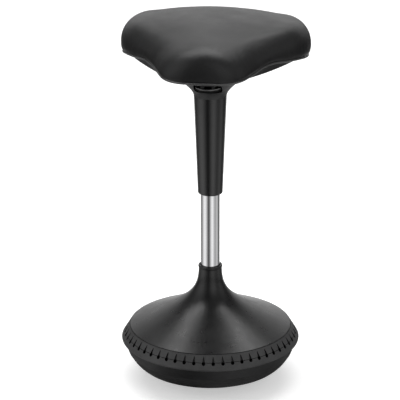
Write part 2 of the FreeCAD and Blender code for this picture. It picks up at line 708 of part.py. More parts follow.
plate = block(-PLATE_HALF, PLATE_HALF, -PLATE_HALF, PLATE_HALF, PLATE_LOW, PLATE_LOW + PLATE_THICKNESS)
corners = [e for e in plate.Edges if abs(e.tangentAt(e.FirstParameter).z) > 0.99]
plate = plate.makeFillet(PLATE_CORNER, corners)
bracket = bracket.fuse([cheek, other, web, plate]).removeSplitter()
pivot_line = Part.makeCylinder(PIVOT_RADIUS + RUN, 80, V(-40, PIVOT_Y, PIVOT_Z), V(1, 0, 0))
bracket = bracket.cut(pivot_line)
bolt_places = [(sx * PLATE_BOLT_PLACE, sy * PLATE_BOLT_PLACE) for sx in (-1, 1) for sy in (-1, 1)]
for x, y in bolt_places:
    bracket = bracket.cut(rod(PLATE_BOLT + RUN, PLATE_LOW - 1, PLATE_LOW + PLATE_THICKNESS + 1, x, y))
parts["seat_bracket"] = bracket
pin_half = CHEEK_INNER + CHEEK_PLATE + 1.5
pivot = Part.makeCylinder(PIVOT_RADIUS, 2 * pin_half, V(-pin_half, PIVOT_Y, PIVOT_Z), V(1, 0, 0))
head = Part.makeCylinder(PIVOT_RADIUS + 1.6, 1.5, V(-pin_half, PIVOT_Y, PIVOT_Z), V(1, 0, 0))
parts["pivot_pin"] = pivot.fuse(head).removeSplitter()

# release lever: finger paddle in front, two arms, and a nose over the valve pin
arm_out = ARM_PLACE + ARM_WIDTH / 2
hub_half = CHEEK_INNER - 0.4
NOSE_RADIUS = 3.0
nose_z = pin_top + SEAT_GAP + NOSE_RADIUS
hub_y = PIVOT_Y
plate_top = PADDLE_LOW + PADDLE_PLATE
paddle = rod(PADDLE_RADIUS, PADDLE_LOW, plate_top + PADDLE_RIM_HEIGHT, 0, PADDLE_Y)
paddle = paddle.cut(rod(PADDLE_RADIUS - PADDLE_RIM, plate_top, plate_top + 20, 0, PADDLE_Y))
paddle = paddle.cut(block(-60, 60, PADDLE_Y + 1.0, 60, PADDLE_LOW - 1, PADDLE_LOW + 60))
arm_points = [
    (PADDLE_Y - 17.0, plate_top - 1.0),
    (PADDLE_Y - 13.0, plate_top + PADDLE_RIM_HEIGHT - 0.5),
    (hub_y - 5.5, PIVOT_Z + 1.5),
    (hub_y, PIVOT_Z + LEVER_HUB),
    (-8.0, nose_z + NOSE_RADIUS),
    (NOSE_RADIUS + 3.0, nose_z + NOSE_RADIUS),
    (NOSE_RADIUS + 3.0, nose_z),
    (-9.0, nose_z - 1.0),
    (hub_y + 4.5, PIVOT_Z + 0.5),
    (hub_y + 1.0, PIVOT_Z - LEVER_HUB + 0.5),
    (PADDLE_Y + 1.0, PADDLE_LOW + 0.4),
]
arm = extruded([V(-arm_out, y, z) for y, z in arm_points], V(ARM_WIDTH, 0, 0))
other_arm = arm.mirror(V(0, 0, 0), V(1, 0, 0))
hub_tube = Part.makeCylinder(LEVER_HUB, 2 * hub_half, V(-hub_half, PIVOT_Y, PIVOT_Z), V(1, 0, 0))
nose = Part.makeCylinder(NOSE_RADIUS, 2 * arm_out, V(-arm_out, 0, nose_z), V(1, 0, 0))
lever = paddle.fuse([arm, other_arm, hub_tube, nose]).removeSplitter()
parts["release_lever"] = lever.cut(pivot_line)

# seat: every section comes from the station table
seat_half = SEAT_WIDTH / 2
seat_length = SEAT_FRONT + SEAT_BACK


def station(row):
    share, width, top, fall, widest, edge, corner, floor = row
    y = share * seat_length - SEAT_FRONT
    half = width * seat_half
    return y, half, SEAT_TOP - top, fall, SEAT_TOP - widest, SEAT_TOP - edge, SEAT_TOP - corner, SEAT_TOP - floor


def inset(half):
    return half - min(EDGE_INSET, 0.22 * half)


def cushion_section(row):
    y, half, top, fall, widest, edge, _, _ = station(row)
    inner = inset(half)
    x1 = half * SHOULDER_SHARE
    z1 = top - fall
    low = (inner + (half - inner) * 0.71, edge + (widest - edge) * 0.29)
    high = (x1 + (half - x1) * 0.71, widest + (z1 - widest) * 0.71)
    p = [V(x, y, z) for x, z in ((inner, edge), low, (half, widest), high, (x1, z1), (0, top))]
    q = [V(-v.x, v.y, v.z) for v in p]
    return Part.Wire(
        [
            arc(p[0], p[1], p[2]),
            arc(p[2], p[3], p[4]),
            arc(p[4], p[5], q[4]),
            arc(q[4], q[3], q[2]),
            arc(q[2], q[1], q[0]),
            line(q[0], p[0]),
        ]
    )


def pan_section(row, inwards, rise):
    """Cross-section of the pan, set in by a wall. Its top edge stands a rise above the rim."""
    y, half, _, _, _, edge, corner, floor = station(row)
    rim = inset(half) - SOFT_GAP - inwards
    low = rim - min(PAN_CORNER, 0.2 * half)
    side = (rim, edge - 4.0 + inwards)
    p = [V(x, y, z) for x, z in ((rim, edge - SOFT_GAP + rise), side, (low, corner + inwards), (0, floor + inwards))]
    q = [V(-v.x, v.y, v.z) for v in p]
    return Part.Wire(
        [
            line(p[0], p[1]),
            line(p[1], p[2]),
            arc(p[2], p[3], q[2]),
            line(q[2], q[1]),
            line(q[1], q[0]),
            line(q[0], p[0]),
        ]
    )


def lofted(sections):
    return Part.makeLoft(sections, True, False)


def seat_slab(setback, low, high):
    """Flat layer across the seat, ending a setback inside the pan's own ends."""
    wide = seat_half + 20
    return block(
        -wide, wide, PAN_FRONT + setback - SEAT_FRONT, SEAT_BACK - PAN_REAR - setback, low, high
    )


seat_low = PAN_BOSS_LOW - 5
cushion = lofted([cushion_section(row) for row in STATIONS])
pan_outer = lofted([pan_section(row, 0.0, 0.0) for row in STATIONS])
pan_inner = lofted([pan_section(row, PAN_WALL, 16.0) for row in STATIONS])
board_space = lofted([pan_section(row, PAN_WALL + BOARD_GAP, 16.0) for row in STATIONS])
pan_outer = pan_outer.common(seat_slab(0, seat_low, SEAT_TOP))
pan_inner = pan_inner.common(seat_slab(PAN_WALL, seat_low, SEAT_TOP))

board_low = PLATE_LOW + PLATE_THICKNESS
board_top = board_low + BOARD_THICKNESS
board = board_space.common(seat_slab(PAN_WALL + BOARD_GAP, board_low, board_top))
recess = pan_inner.common(seat_slab(PAN_WALL, seat_low, board_top + SOFT_GAP))
parts["cushion"] = cushion.cut(recess)

pan = pan_outer.cut(pan_inner)
rib = block(PAN_BORE + 8, SEAT_WIDTH, -RIB / 2, RIB / 2, seat_low, PLATE_LOW - SEAT_GAP)
posts = [rod(PAN_SCREW_HEAD + 2.2, seat_low, board_low - SEAT_GAP, x, y) for x, y in PAN_SCREWS]
for solid in around(rib, RIBS, 22.5) + posts:
    pan = pan.fuse(solid.common(pan_outer))
boss = ring(PAN_BORE, COLLAR_TOP_RADIUS + 0.5, PAN_BOSS_LOW, PLATE_LOW - SEAT_GAP)
pan = pan.fuse(boss).cut(rod(PAN_BORE, seat_low, SEAT_TOP))
screw_low = PAN_BOSS_LOW + 12.5
for x, y in PAN_SCREWS:
    pan = pan.cut(rod(PAN_SCREW + RUN, seat_low, SEAT_TOP, x, y))
    pan = pan.cut(rod(PAN_SCREW_HEAD + 0.3, seat_low, screw_low, x, y))
for x, y in bolt_places:
    pan = pan.cut(rod(PLATE_BOLT + 3.2, PLATE_LOW - 4, PLATE_LOW + 1, x, y))
parts["seat_pan"] = pan.removeSplitter()

screws = []
for x, y in PAN_SCREWS:
    screw = rod(PAN_SCREW, screw_low - 1, board_top - 2, x, y)
    screws.append(screw.fuse(rod(PAN_SCREW_HEAD, screw_low - 2.4, screw_low - SEAT_GAP, x, y)).removeSplitter())
    board = board.cut(rod(PAN_SCREW, seat_low, board_top - 2, x, y))
parts["pan_screws"] = Part.Compound(screws)
bolts = []
for x, y in bolt_places:
    bolt = rod(PLATE_BOLT, PLATE_LOW - 1, board_top - 1, x, y)
    bolts.append(bolt.fuse(hexagon(9.0, PLATE_LOW - 3.4, PLATE_LOW - SEAT_GAP, x, y)).removeSplitter())
    board = board.cut(rod(PLATE_BOLT + RUN, seat_low, SEAT_TOP, x, y))
parts["plate_bolts"] = Part.Compound(bolts)
parts["seat_board"] = board

os.makedirs("parts", exist_ok=True)
for name, shape in parts.items():
    shape.exportStep("parts/" + name + ".step")
    box = shape.BoundBox
    print(name, len(shape.Solids), shape.isValid(), round(shape.Volume / 1000, 2), "cm3", round(box.ZMin, 1), round(box.ZMax, 1))
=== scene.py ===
import math

import bmesh
import bpy
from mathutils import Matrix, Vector
from mathutils.kdtree import KDTree


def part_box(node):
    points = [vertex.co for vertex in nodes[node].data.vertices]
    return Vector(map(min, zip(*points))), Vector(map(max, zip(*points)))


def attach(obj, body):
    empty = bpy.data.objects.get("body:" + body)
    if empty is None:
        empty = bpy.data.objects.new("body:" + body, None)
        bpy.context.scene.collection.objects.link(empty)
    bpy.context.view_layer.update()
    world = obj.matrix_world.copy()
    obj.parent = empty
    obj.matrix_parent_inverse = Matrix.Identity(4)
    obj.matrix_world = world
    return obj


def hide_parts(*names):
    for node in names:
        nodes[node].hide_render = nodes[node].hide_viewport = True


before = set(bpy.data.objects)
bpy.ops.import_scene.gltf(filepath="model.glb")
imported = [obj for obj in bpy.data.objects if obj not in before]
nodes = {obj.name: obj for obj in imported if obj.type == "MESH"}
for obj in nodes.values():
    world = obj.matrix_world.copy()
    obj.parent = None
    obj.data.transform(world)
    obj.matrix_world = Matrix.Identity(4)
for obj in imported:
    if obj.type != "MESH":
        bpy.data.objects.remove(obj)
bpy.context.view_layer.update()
scene = bpy.context.scene
print("frame loaded:", len(nodes), "nodes")


# Camera

cameraView = {
    "lens": 249.9,
    "sensor": 36.0,
    "distance": 5.5,  # metres from the point aimed at
    "azimuth": 6.5,  # degrees from straight in front of the nose towards +X
    "elevation": 20.4,
    "aim": (0.0, 0.0, 0.3747),
    "shiftX": -0.02575,
    "clipEnd": 60.0,
}


def makeCamera(values):
    data = bpy.data.cameras.new("camera")
    data.lens = values["lens"]
    data.sensor_width = values["sensor"]
    data.shift_x = values["shiftX"]
    data.clip_end = values["clipEnd"]
    camera = bpy.data.objects.new("camera", data)
    scene.collection.objects.link(camera)
    turn = math.radians(values["azimuth"])
    rise = math.radians(values["elevation"])
    back = Vector((math.sin(turn) * math.cos(rise), -math.cos(turn) * math.cos(rise), math.sin(rise)))
    camera.location = Vector(values["aim"]) + back * values["distance"]
    camera.rotation_euler = (-back).to_track_quat("-Z", "Y").to_euler()
    scene.camera = camera


makeCamera(cameraView)


# Floor, lamps and world

# How bright shiny surfaces see the studio, by the angle from straight in front: two soft
# boxes with a dark gap between them, a weak fill on the right, and the white backdrop
studioRing = {
    "stops": (
        (-180, 1.0), (-155, 0.85), (-126, 0.12), (-60, 1.0), (-12, 0.08), (30, 1.0), (66, 0.4), (94, 0.6),
        (124, 0.12), (140, 0.14), (162, 0.85), (180, 1.0),
    ),
    "nearShadowImage": (0.18, 0.45, 0.3, 1.0),  # its image on the floor, dimmed near the axis as a painted shadow of the stool: two distances from the axis, two levels
    "farImage": (1.4, 2.1, 1.15, 0.22),
}


def mathNode(tree, operation, first, second):
    node = tree.nodes.new("ShaderNodeMath")
    node.operation = operation
    for socket, value in zip(node.inputs, (first, second)):
        if isinstance(value, (int, float)):
            socket.default_value = value
        else:
            tree.links.new(value, socket)
    return node.outputs[0]


# Maps a range of values onto another one
def rangeNode(tree, value, fromLow, fromHigh, low, high):
    node = tree.nodes.new("ShaderNodeMapRange")
    node.inputs["From Min"].default_value = fromLow
    node.inputs["From Max"].default_value = fromHigh
    node.inputs["To Min"].default_value = low
    node.inputs["To Max"].default_value = high
    tree.links.new(value, node.inputs["Value"])
    return node


# The same with soft ends
def rampNode(tree, value, fromLow, fromHigh, low, high):
    ramp = rangeNode(tree, value, fromLow, fromHigh, low, high)
    ramp.interpolation_type = "SMOOTHSTEP"
    return ramp.outputs["Result"]


# Brightness of the studio in the direction of a vector
def ringNode(tree, vector, values):
    sides = tree.nodes.new("ShaderNodeSeparateXYZ")
    tree.links.new(vector, sides.inputs[0])
    ahead = mathNode(tree, "MULTIPLY", sides.outputs["Y"], -1.0)
    angle = mathNode(tree, "ARCTAN2", sides.outputs["X"], ahead)
    share = mathNode(tree, "ADD", mathNode(tree, "DIVIDE", angle, 2 * math.pi), 0.5)
    ramp = tree.nodes.new("ShaderNodeValToRGB")
    ramp.color_ramp.interpolation = "EASE"
    elements = ramp.color_ramp.elements
    stops = values["stops"]
    while len(elements) < len(stops):
        elements.new(1.0)
    for element, (degrees, level) in zip(elements, stops):
        element.position = (degrees + 180) / 360
        element.color = (level, level, level, 1.0)
    tree.links.new(share, ramp.inputs["Fac"])
    return ramp.outputs["Color"]


# 1 for the rays that shiny and clear surfaces send out
def mirrorRays(tree, paths):
    return mathNode(tree, "MAXIMUM", paths.outputs["Is Glossy Ray"], paths.outputs["Is Transmission Ray"])


def mixShaders(tree, factor, first, second):
    mix = tree.nodes.new("ShaderNodeMixShader")
    for socket, value in zip(mix.inputs, (factor, first, second)):
        tree.links.new(value, socket)
    return mix.outputs[0]


floorLook = {
    "size": 40.0,
    "colour": (0.84, 0.84, 0.84, 1.0),
    "lift": (0.14, 0.42, 0.45, 0.55),  # extra white that only the camera sees: distances, then levels
}


# A floor that the camera sees as soft white and shiny surfaces as the studio's image
def floorMaterial(values):
    material = bpy.data.materials.new("studioFloor")
    material.use_nodes = True
    tree = material.node_tree
    tree.nodes.clear()
    add = tree.nodes.new
    link = tree.links.new
    output = add("ShaderNodeOutputMaterial")
    diffuse = add("ShaderNodeBsdfDiffuse")
    diffuse.inputs["Color"].default_value = values["colour"]
    place = add("ShaderNodeTexCoord").outputs["Object"]
    length = add("ShaderNodeVectorMath")
    length.operation = "LENGTH"
    link(place, length.inputs[0])
    reach = length.outputs["Value"]
    paths = add("ShaderNodeLightPath")
    lift = rampNode(tree, reach, *values["lift"])
    glow = add("ShaderNodeEmission")
    glow.inputs["Color"].default_value = (1.0, 1.0, 1.0, 1.0)
    link(mathNode(tree, "MULTIPLY", lift, paths.outputs["Is Camera Ray"]), glow.inputs["Strength"])
    lit = add("ShaderNodeAddShader")
    link(diffuse.outputs[0], lit.inputs[0])
    link(glow.outputs[0], lit.inputs[1])
    image = add("ShaderNodeEmission")
    link(ringNode(tree, place, studioRing), image.inputs["Color"])
    # Painted shadow: the image is dimmed near the axis, where the stool shades the floor
    near = rampNode(tree, reach, *studioRing["nearShadowImage"])
    far = rampNode(tree, reach, *studioRing["farImage"])
    link(mathNode(tree, "MULTIPLY", near, far), image.inputs["Strength"])
    seen = mixShaders(tree, mirrorRays(tree, paths), lit.outputs[0], image.outputs[0])
    link(seen, output.inputs["Surface"])
    return material


def makeFloor(values):
    mesh = bpy.data.meshes.new("studioFloor")
    bm = bmesh.new()
    bmesh.ops.create_grid(bm, x_segments=1, y_segments=1, size=values["size"] / 2)
    bm.to_mesh(mesh)
    bm.free()
    floor = bpy.data.objects.new("studioFloor", mesh)
    scene.collection.objects.link(floor)
    mesh.materials.append(floorMaterial(values))


makeFloor(floorLook)

lampTarget = (0.0, 0.0, 0.4)
lampSet = {
    "overhead": {"place": (-0.15, 0.5, 2.6), "size": (2.9, 1.6), "power": 52.0, "mirrored": True},
    "leftLamp": {"place": (-2.3, -1.5, 1.3), "size": (0.9, 2.0), "power": 8.0, "mirrored": False},
    "rightLamp": {"place": (1.5, -2.3, 1.3), "size": (1.0, 2.0), "power": 8.0, "mirrored": False},
}


def makeLamp(name, values):
    data = bpy.data.lights.new(name, "AREA")
    data.shape = "RECTANGLE"
    data.size, data.size_y = values["size"]
    data.energy = values["power"]
    lamp = bpy.data.objects.new(name, data)
    scene.collection.objects.link(lamp)
    lamp.location = values["place"]
    aim = Vector(lampTarget) - Vector(values["place"])
    lamp.rotation_euler = aim.to_track_quat("-Z", "Y").to_euler()
    lamp.visible_glossy = values["mirrored"]


for lampName, lampValues in lampSet.items():
    makeLamp(lampName, lampValues)

worldLook = {
    "ambient": 0.52,  # soft fill on matte surfaces
    "backdrop": 1.0,  # what the camera sees behind the floor
    "fade": (0.45, 0.9, 1.0, 0.25),  # the ring's image: two heights of the direction, two levels
}


def backgroundNode(tree, level):
    background = tree.nodes.new("ShaderNodeBackground")
    background.inputs["Color"].default_value = (1.0, 1.0, 1.0, 1.0)
    background.inputs["Strength"].default_value = level
    return background


def makeWorld(values):
    world = bpy.data.worlds.new("studio")
    world.use_nodes = True
    scene.world = world
    tree = world.node_tree
    tree.nodes.clear()
    add = tree.nodes.new
    link = tree.links.new
    output = add("ShaderNodeOutputWorld")
    place = add("ShaderNodeTexCoord").outputs["Generated"]
    sides = add("ShaderNodeSeparateXYZ")
    link(place, sides.inputs[0])
    plain = backgroundNode(tree, values["ambient"])
    white = backgroundNode(tree, values["backdrop"])
    studio = add("ShaderNodeBackground")
    link(ringNode(tree, place, studioRing), studio.inputs["Color"])
    link(rampNode(tree, sides.outputs["Z"], *values["fade"]), studio.inputs["Strength"])
    paths = add("ShaderNodeLightPath")
    lighting = mixShaders(tree, mirrorRays(tree, paths), plain.outputs[0], studio.outputs[0])
    seen = mixShaders(tree, paths.outputs["Is Camera Ray"], lighting, white.outputs[0])
    link(seen, output.inputs["Surface"])


makeWorld(worldLook)
scene.view_settings.view_transform = "Standard"
print("studio made")


# Materials


# Returns the material, its node tree, its shader and the object coordinates
def startMaterial(name, metallic=0.0, specular=0.5):
    material = bpy.data.materials.new(name)
    material.use_nodes = True
    tree = material.node_tree
    tree.nodes.clear()
    output = tree.nodes.new("ShaderNodeOutputMaterial")
    shader = tree.nodes.new("ShaderNodeBsdfPrincipled")
    tree.links.new(shader.outputs[0], output.inputs["Surface"])
    shader.inputs["Metallic"].default_value = metallic
    shader.inputs["Specular IOR Level"].default_value = specular
    coords = tree.nodes.new("ShaderNodeTexCoord")
    return material, tree, shader, coords.outputs["Object"]


# Noise on object coordinates. Stretch scales each axis first
def noiseNode(tree, place, scale, detail=3.0, roughness=0.5, stretch=None):
    if stretch:
        mapping = tree.nodes.new("ShaderNodeMapping")
        mapping.inputs["Scale"].default_value = stretch
        tree.links.new(place, mapping.inputs["Vector"])
        place = mapping.outputs["Vector"]
    noise = tree.nodes.new("ShaderNodeTexNoise")
    noise.inputs["Scale"].default_value = scale
    noise.inputs["Detail"].default_value = detail
    noise.inputs["Roughness"].default_value = roughness
    tree.links.new(place, noise.inputs["Vector"])
    return noise.outputs["Fac"]


# Maps the middle of a texture's range onto a range of values
def spread(tree, value, low, high, fromLow=0.3, fromHigh=0.7):
    return rangeNode(tree, value, fromLow, fromHigh, low, high).outputs["Result"]


# Two tones of a look, mixed by a texture
def toneNode(tree, texture, values):
    mix = tree.nodes.new("ShaderNodeMix")
    mix.data_type = "RGBA"
    mix.inputs["A"].default_value = (*values["dark"], 1.0)
    mix.inputs["B"].default_value = (*values["light"], 1.0)
    tree.links.new(spread(tree, texture, 0.0, 1.0), mix.inputs["Factor"])
    return mix.outputs["Result"]


def addBump(tree, shader, texture, strength, height, before=None):
    bump = tree.nodes.new("ShaderNodeBump")
    bump.inputs["Strength"].default_value = strength
    bump.inputs["Distance"].default_value = height
    tree.links.new(texture, bump.inputs["Height"])
    if before:
        tree.links.new(before, bump.inputs["Normal"])
    tree.links.new(bump.outputs["Normal"], shader.inputs["Normal"])
    return bump.outputs["Normal"]


# Share of its tone that a surface keeps, as painted shade: none deep in a narrow slot, little below a rim,
# which stays light as a painted highlight
def paintedShadeShare(tree, place, values):
    if "slotShade" in values:
        slotOcclusion = tree.nodes.new("ShaderNodeAmbientOcclusion")
        slotOcclusion.samples = values["slotShade"]["samples"]
        slotOcclusion.inputs["Distance"].default_value = values["slotShade"]["width"]
        return rampNode(tree, slotOcclusion.outputs["AO"], *values["slotShade"]["shares"])
    if "rim" in values:
        split = tree.nodes.new("ShaderNodeSeparateXYZ")
        tree.links.new(place, split.inputs[0])
        return rampNode(tree, split.outputs["Z"], *values["rim"])
    return None


plasticRelief = {
    "waveScale": 1.6,  # of the mottle's scale
    "rubScale": 3.1,
    "waveDepth": 0.25,
    "waveHeight": 0.0006,
    "grainHeight": 0.0002,
}


# Black plastic with a spark-eroded grain: fine pits, a soft mottle and a few rubbed spots
def mouldedPlastic(name, values):
    material, tree, shader, place = startMaterial(name, specular=values["specular"])
    tone = toneNode(tree, noiseNode(tree, place, values["mottle"], 4.0), values)
    # Painted light: where a look asks for it, its tone and shine are scaled down as painted shade
    share = paintedShadeShare(tree, place, values)
    if share:
        shadedTone = tree.nodes.new("ShaderNodeVectorMath")
        shadedTone.operation = "SCALE"
        tree.links.new(tone, shadedTone.inputs[0])
        tree.links.new(share, shadedTone.inputs["Scale"])
        tone = shadedTone.outputs[0]
        specular = mathNode(tree, "MULTIPLY", share, values["specular"])
        tree.links.new(specular, shader.inputs["Specular IOR Level"])
    tree.links.new(tone, shader.inputs["Base Color"])
    rub = noiseNode(tree, place, values["mottle"] * plasticRelief["rubScale"], 5.0, 0.6)
    tree.links.new(spread(tree, rub, *values["roughness"]), shader.inputs["Roughness"])
    wave = noiseNode(tree, place, values["mottle"] * plasticRelief["waveScale"], 2.0)
    waved = addBump(tree, shader, wave, plasticRelief["waveDepth"], plasticRelief["waveHeight"])
    grain = noiseNode(tree, place, values["grain"], 2.0, 0.6)
    addBump(tree, shader, grain, values["depth"], plasticRelief["grainHeight"], waved)
    return material


plasticLooks = {
    "coverPlastic": {
        "specular": 0.5, "mottle": 14.0, "dark": (0.0048, 0.0048, 0.005), "light": (0.0072, 0.0072, 0.0075),
        "roughness": (0.26, 0.34), "grain": 1500.0, "depth": 0.12,
    },
    "bandPlastic": {
        "specular": 0.5, "mottle": 22.0, "dark": (0.03, 0.03, 0.0305), "light": (0.045, 0.045, 0.0455),
        "roughness": (0.5, 0.62), "grain": 700.0, "depth": 0.7,
        # Painted shade: the band's base colour and shine are darkened deep in its slots
        "slotShade": {"width": 0.01, "samples": 8, "shares": (0.6, 0.96, 0.0, 1.0)},
    },
    "shellPlastic": {
        "specular": 0.4, "mottle": 12.0, "dark": (0.009, 0.009, 0.0095), "light": (0.014, 0.014, 0.0145),
        "roughness": (0.45, 0.6), "grain": 900.0, "depth": 0.5,
    },
    "columnPlastic": {
        "specular": 0.6, "mottle": 18.0, "dark": (0.0038, 0.0038, 0.004), "light": (0.0058, 0.0058, 0.006),
        "roughness": (0.15, 0.2), "grain": 1400.0, "depth": 0.3,
    },
    "collarPlastic": {
        "specular": 0.5, "mottle": 26.0, "dark": (0.012, 0.012, 0.0125), "light": (0.022, 0.022, 0.0225),
        "roughness": (0.5, 0.6), "grain": 600.0, "depth": 0.8,
    },
    "panPlastic": {
        "specular": 0.3, "mottle": 15.0, "dark": (0.005, 0.005, 0.0053), "light": (0.008, 0.008, 0.0083),
        "roughness": (0.45, 0.6), "grain": 800.0, "depth": 0.5,
    },
    "leverPlasticPaintedRim": {
        # Its light tone is a painted highlight on the paddle's rim and arms
        "specular": 0.9, "mottle": 40.0, "dark": (0.08, 0.08, 0.08), "light": (0.11, 0.11, 0.11),
        "roughness": (0.2, 0.28), "grain": 1200.0, "depth": 0.2,
        "rim": (0.6197, 0.6212, 0.08, 1.0),  # painted highlight: light above these heights, painted dark below them; two heights, and the shares there
    },
    "whitePlastic": {
        "specular": 0.5, "mottle": 30.0, "dark": (0.68, 0.67, 0.62), "light": (0.76, 0.75, 0.71),
        "roughness": (0.38, 0.5), "grain": 1200.0, "depth": 0.3,
    },
    "soleRubber": {
        "specular": 0.35, "mottle": 20.0, "dark": (0.012, 0.012, 0.012), "light": (0.02, 0.02, 0.0205),
        "roughness": (0.68, 0.82), "grain": 500.0, "depth": 0.8,
    },
    "sealRubber": {
        "specular": 0.35, "mottle": 40.0, "dark": (0.009, 0.009, 0.009), "light": (0.015, 0.015, 0.015),
        "roughness": (0.55, 0.7), "grain": 900.0, "depth": 0.5,
    },
}
looks = {name: mouldedPlastic(name, values) for name, values in plasticLooks.items()}


# Metal with faint lines from its drawing or turning, and a slight uneven shine
def drawnMetal(name, values):
    material, tree, shader, place = startMaterial(name, metallic=1.0)
    cloud = noiseNode(tree, place, values["cloud"])
    tree.links.new(toneNode(tree, cloud, values), shader.inputs["Base Color"])
    lines = noiseNode(tree, place, values["lines"], 2.0, 0.6, values["stretch"])
    tree.links.new(spread(tree, lines, *values["roughness"]), shader.inputs["Roughness"])
    addBump(tree, shader, lines, values["depth"], values["height"])
    return material


metalLooks = {
    "chromeTube": {
        "cloud": 16.0, "dark": (0.68, 0.68, 0.69), "light": (0.75, 0.75, 0.76), "roughness": (0.1, 0.16),
        "lines": 160.0, "stretch": (1.0, 1.0, 0.04), "depth": 0.1, "height": 0.00005,
    },
    "zincSteel": {
        "cloud": 60.0, "dark": (0.42, 0.42, 0.43), "light": (0.6, 0.6, 0.61), "roughness": (0.28, 0.4),
        "lines": 500.0, "stretch": (1.0, 1.0, 0.2), "depth": 0.2, "height": 0.00005,
    },
    "bearingSteel": {
        "cloud": 40.0, "dark": (0.5, 0.5, 0.51), "light": (0.64, 0.64, 0.65), "roughness": (0.16, 0.26),
        "lines": 300.0, "stretch": (0.1, 0.1, 1.0), "depth": 0.15, "height": 0.00005,
    },
}
looks.update({name: drawnMetal(name, values) for name, values in metalLooks.items()})


def castIron(name, values):
    material, tree, shader, place = startMaterial(name, values["metallic"], values["specular"])
    sand = noiseNode(tree, place, values["sand"], 5.0, 0.65)
    tree.links.new(toneNode(tree, sand, values), shader.inputs["Base Color"])
    tree.links.new(spread(tree, sand, *values["roughness"]), shader.inputs["Roughness"])
    addBump(tree, shader, sand, values["depth"], values["height"])
    return material


ironLook = {
    "metallic": 0.6, "specular": 0.4, "dark": (0.05, 0.05, 0.052), "light": (0.12, 0.12, 0.125),
    "roughness": (0.55, 0.75), "sand": 220.0, "depth": 0.6, "height": 0.0008,
}
looks["castIron"] = castIron("castIron", ironLook)


# Black powder coat with its orange-peel waves
def powderCoat(name, values):
    material, tree, shader, place = startMaterial(name)
    shader.inputs["Coat Weight"].default_value = values["coat"]
    shader.inputs["Coat Roughness"].default_value = values["coatRoughness"]
    peel = noiseNode(tree, place, values["peel"], 2.0)
    speck = noiseNode(tree, place, values["speck"], 2.0, 0.7)
    tree.links.new(toneNode(tree, speck, values), shader.inputs["Base Color"])
    tree.links.new(spread(tree, peel, *values["roughness"]), shader.inputs["Roughness"])
    addBump(tree, shader, peel, values["depth"], values["height"])
    return material


coatLook = {
    "coat": 0.2, "coatRoughness": 0.25, "peel": 420.0, "speck": 1600.0,
    "dark": (0.010, 0.010, 0.011), "light": (0.02, 0.02, 0.021),
    "roughness": (0.35, 0.5), "depth": 0.35, "height": 0.0003,
}
looks["powderCoat"] = powderCoat("powderCoat", coatLook)


# Birch board: plies seen as bands along its height, with stretched grain on its faces
def plywood(name, values):
    material, tree, shader, place = startMaterial(name, specular=values["specular"])
    grain = noiseNode(tree, place, values["grain"], 6.0, 0.6, values["stretch"])
    plies = tree.nodes.new("ShaderNodeTexWave")
    plies.bands_direction = "Z"
    plies.inputs["Scale"].default_value = values["plies"]
    plies.inputs["Distortion"].default_value = values["waver"]
    tree.links.new(place, plies.inputs["Vector"])
    stripe = tree.nodes.new("ShaderNodeMix")
    stripe.data_type = "RGBA"
    stripe.blend_type = "MULTIPLY"
    share = spread(tree, plies.outputs["Fac"], *values["stripeShare"], 0.0, 1.0)
    tree.links.new(share, stripe.inputs["Factor"])
    tree.links.new(toneNode(tree, grain, values), stripe.inputs["A"])
    stripe.inputs["B"].default_value = values["stripe"]
    tree.links.new(stripe.outputs["Result"], shader.inputs["Base Color"])
    tree.links.new(spread(tree, grain, *values["roughness"]), shader.inputs["Roughness"])
    addBump(tree, shader, grain, values["depth"], values["height"])
    return material


boardLook = {
    "specular": 0.3, "grain": 260.0, "stretch": (1.0, 0.08, 1.0), "plies": 105.0, "waver": 0.3,
    "dark": (0.42, 0.3, 0.18), "light": (0.62, 0.48, 0.31),
    "stripe": (0.55, 0.42, 0.3, 1.0), "stripeShare": (0.0, 0.5),
    "roughness": (0.55, 0.7), "depth": 0.3, "height": 0.0003,
}
looks["birchPly"] = plywood("birchPly", boardLook)


# Self-skinned foam with a fine leather grain, smooth enough for a satin shine
def foamSkin(name, values):
    material, tree, shader, place = startMaterial(name, specular=values["specular"])
    warp = tree.nodes.new("ShaderNodeTexNoise")
    warp.inputs["Scale"].default_value = values["warp"]
    tree.links.new(place, warp.inputs["Vector"])
    shift = tree.nodes.new("ShaderNodeVectorMath")
    shift.operation = "MULTIPLY_ADD"
    tree.links.new(warp.outputs["Color"], shift.inputs[0])
    shift.inputs[1].default_value = (values["warpReach"],) * 3
    tree.links.new(place, shift.inputs[2])
    pebbles = tree.nodes.new("ShaderNodeTexVoronoi")
    pebbles.feature = "DISTANCE_TO_EDGE"
    pebbles.inputs["Scale"].default_value = values["pebble"]
    tree.links.new(shift.outputs["Vector"], pebbles.inputs["Vector"])
    creases = spread(tree, pebbles.outputs["Distance"], 0.0, 1.0, 0.0, values["creaseWidth"])
    cloud = noiseNode(tree, place, values["cloud"], 4.0, 0.55)
    tree.links.new(toneNode(tree, cloud, values), shader.inputs["Base Color"])
    wear = noiseNode(tree, place, values["wear"], 5.0, 0.6)
    tree.links.new(spread(tree, wear, *values["roughness"]), shader.inputs["Roughness"])
    soft = addBump(tree, shader, cloud, *values["softBump"])
    coarse = addBump(tree, shader, creases, *values["creaseBump"], soft)
    addBump(tree, shader, noiseNode(tree, place, values["fine"]), *values["fineBump"], coarse)
    return material


skinLook = {
    "specular": 0.42, "dark": (0.0055, 0.0055, 0.0058), "light": (0.0085, 0.0085, 0.0088),
    "roughness": (0.33, 0.42),
    "cloud": 9.0, "wear": 20.7, "pebble": 620.0, "fine": 1860.0,  # scales, from coarse to fine
    "warp": 217.0, "warpReach": 0.0016,  # makes the pebbles uneven
    "creaseWidth": 0.28,
    "softBump": (0.2, 0.0012), "creaseBump": (0.45, 0.0002), "fineBump": (0.3, 0.0001),  # strength, height
}
looks["foamSkin"] = foamSkin("foamSkin", skinLook)
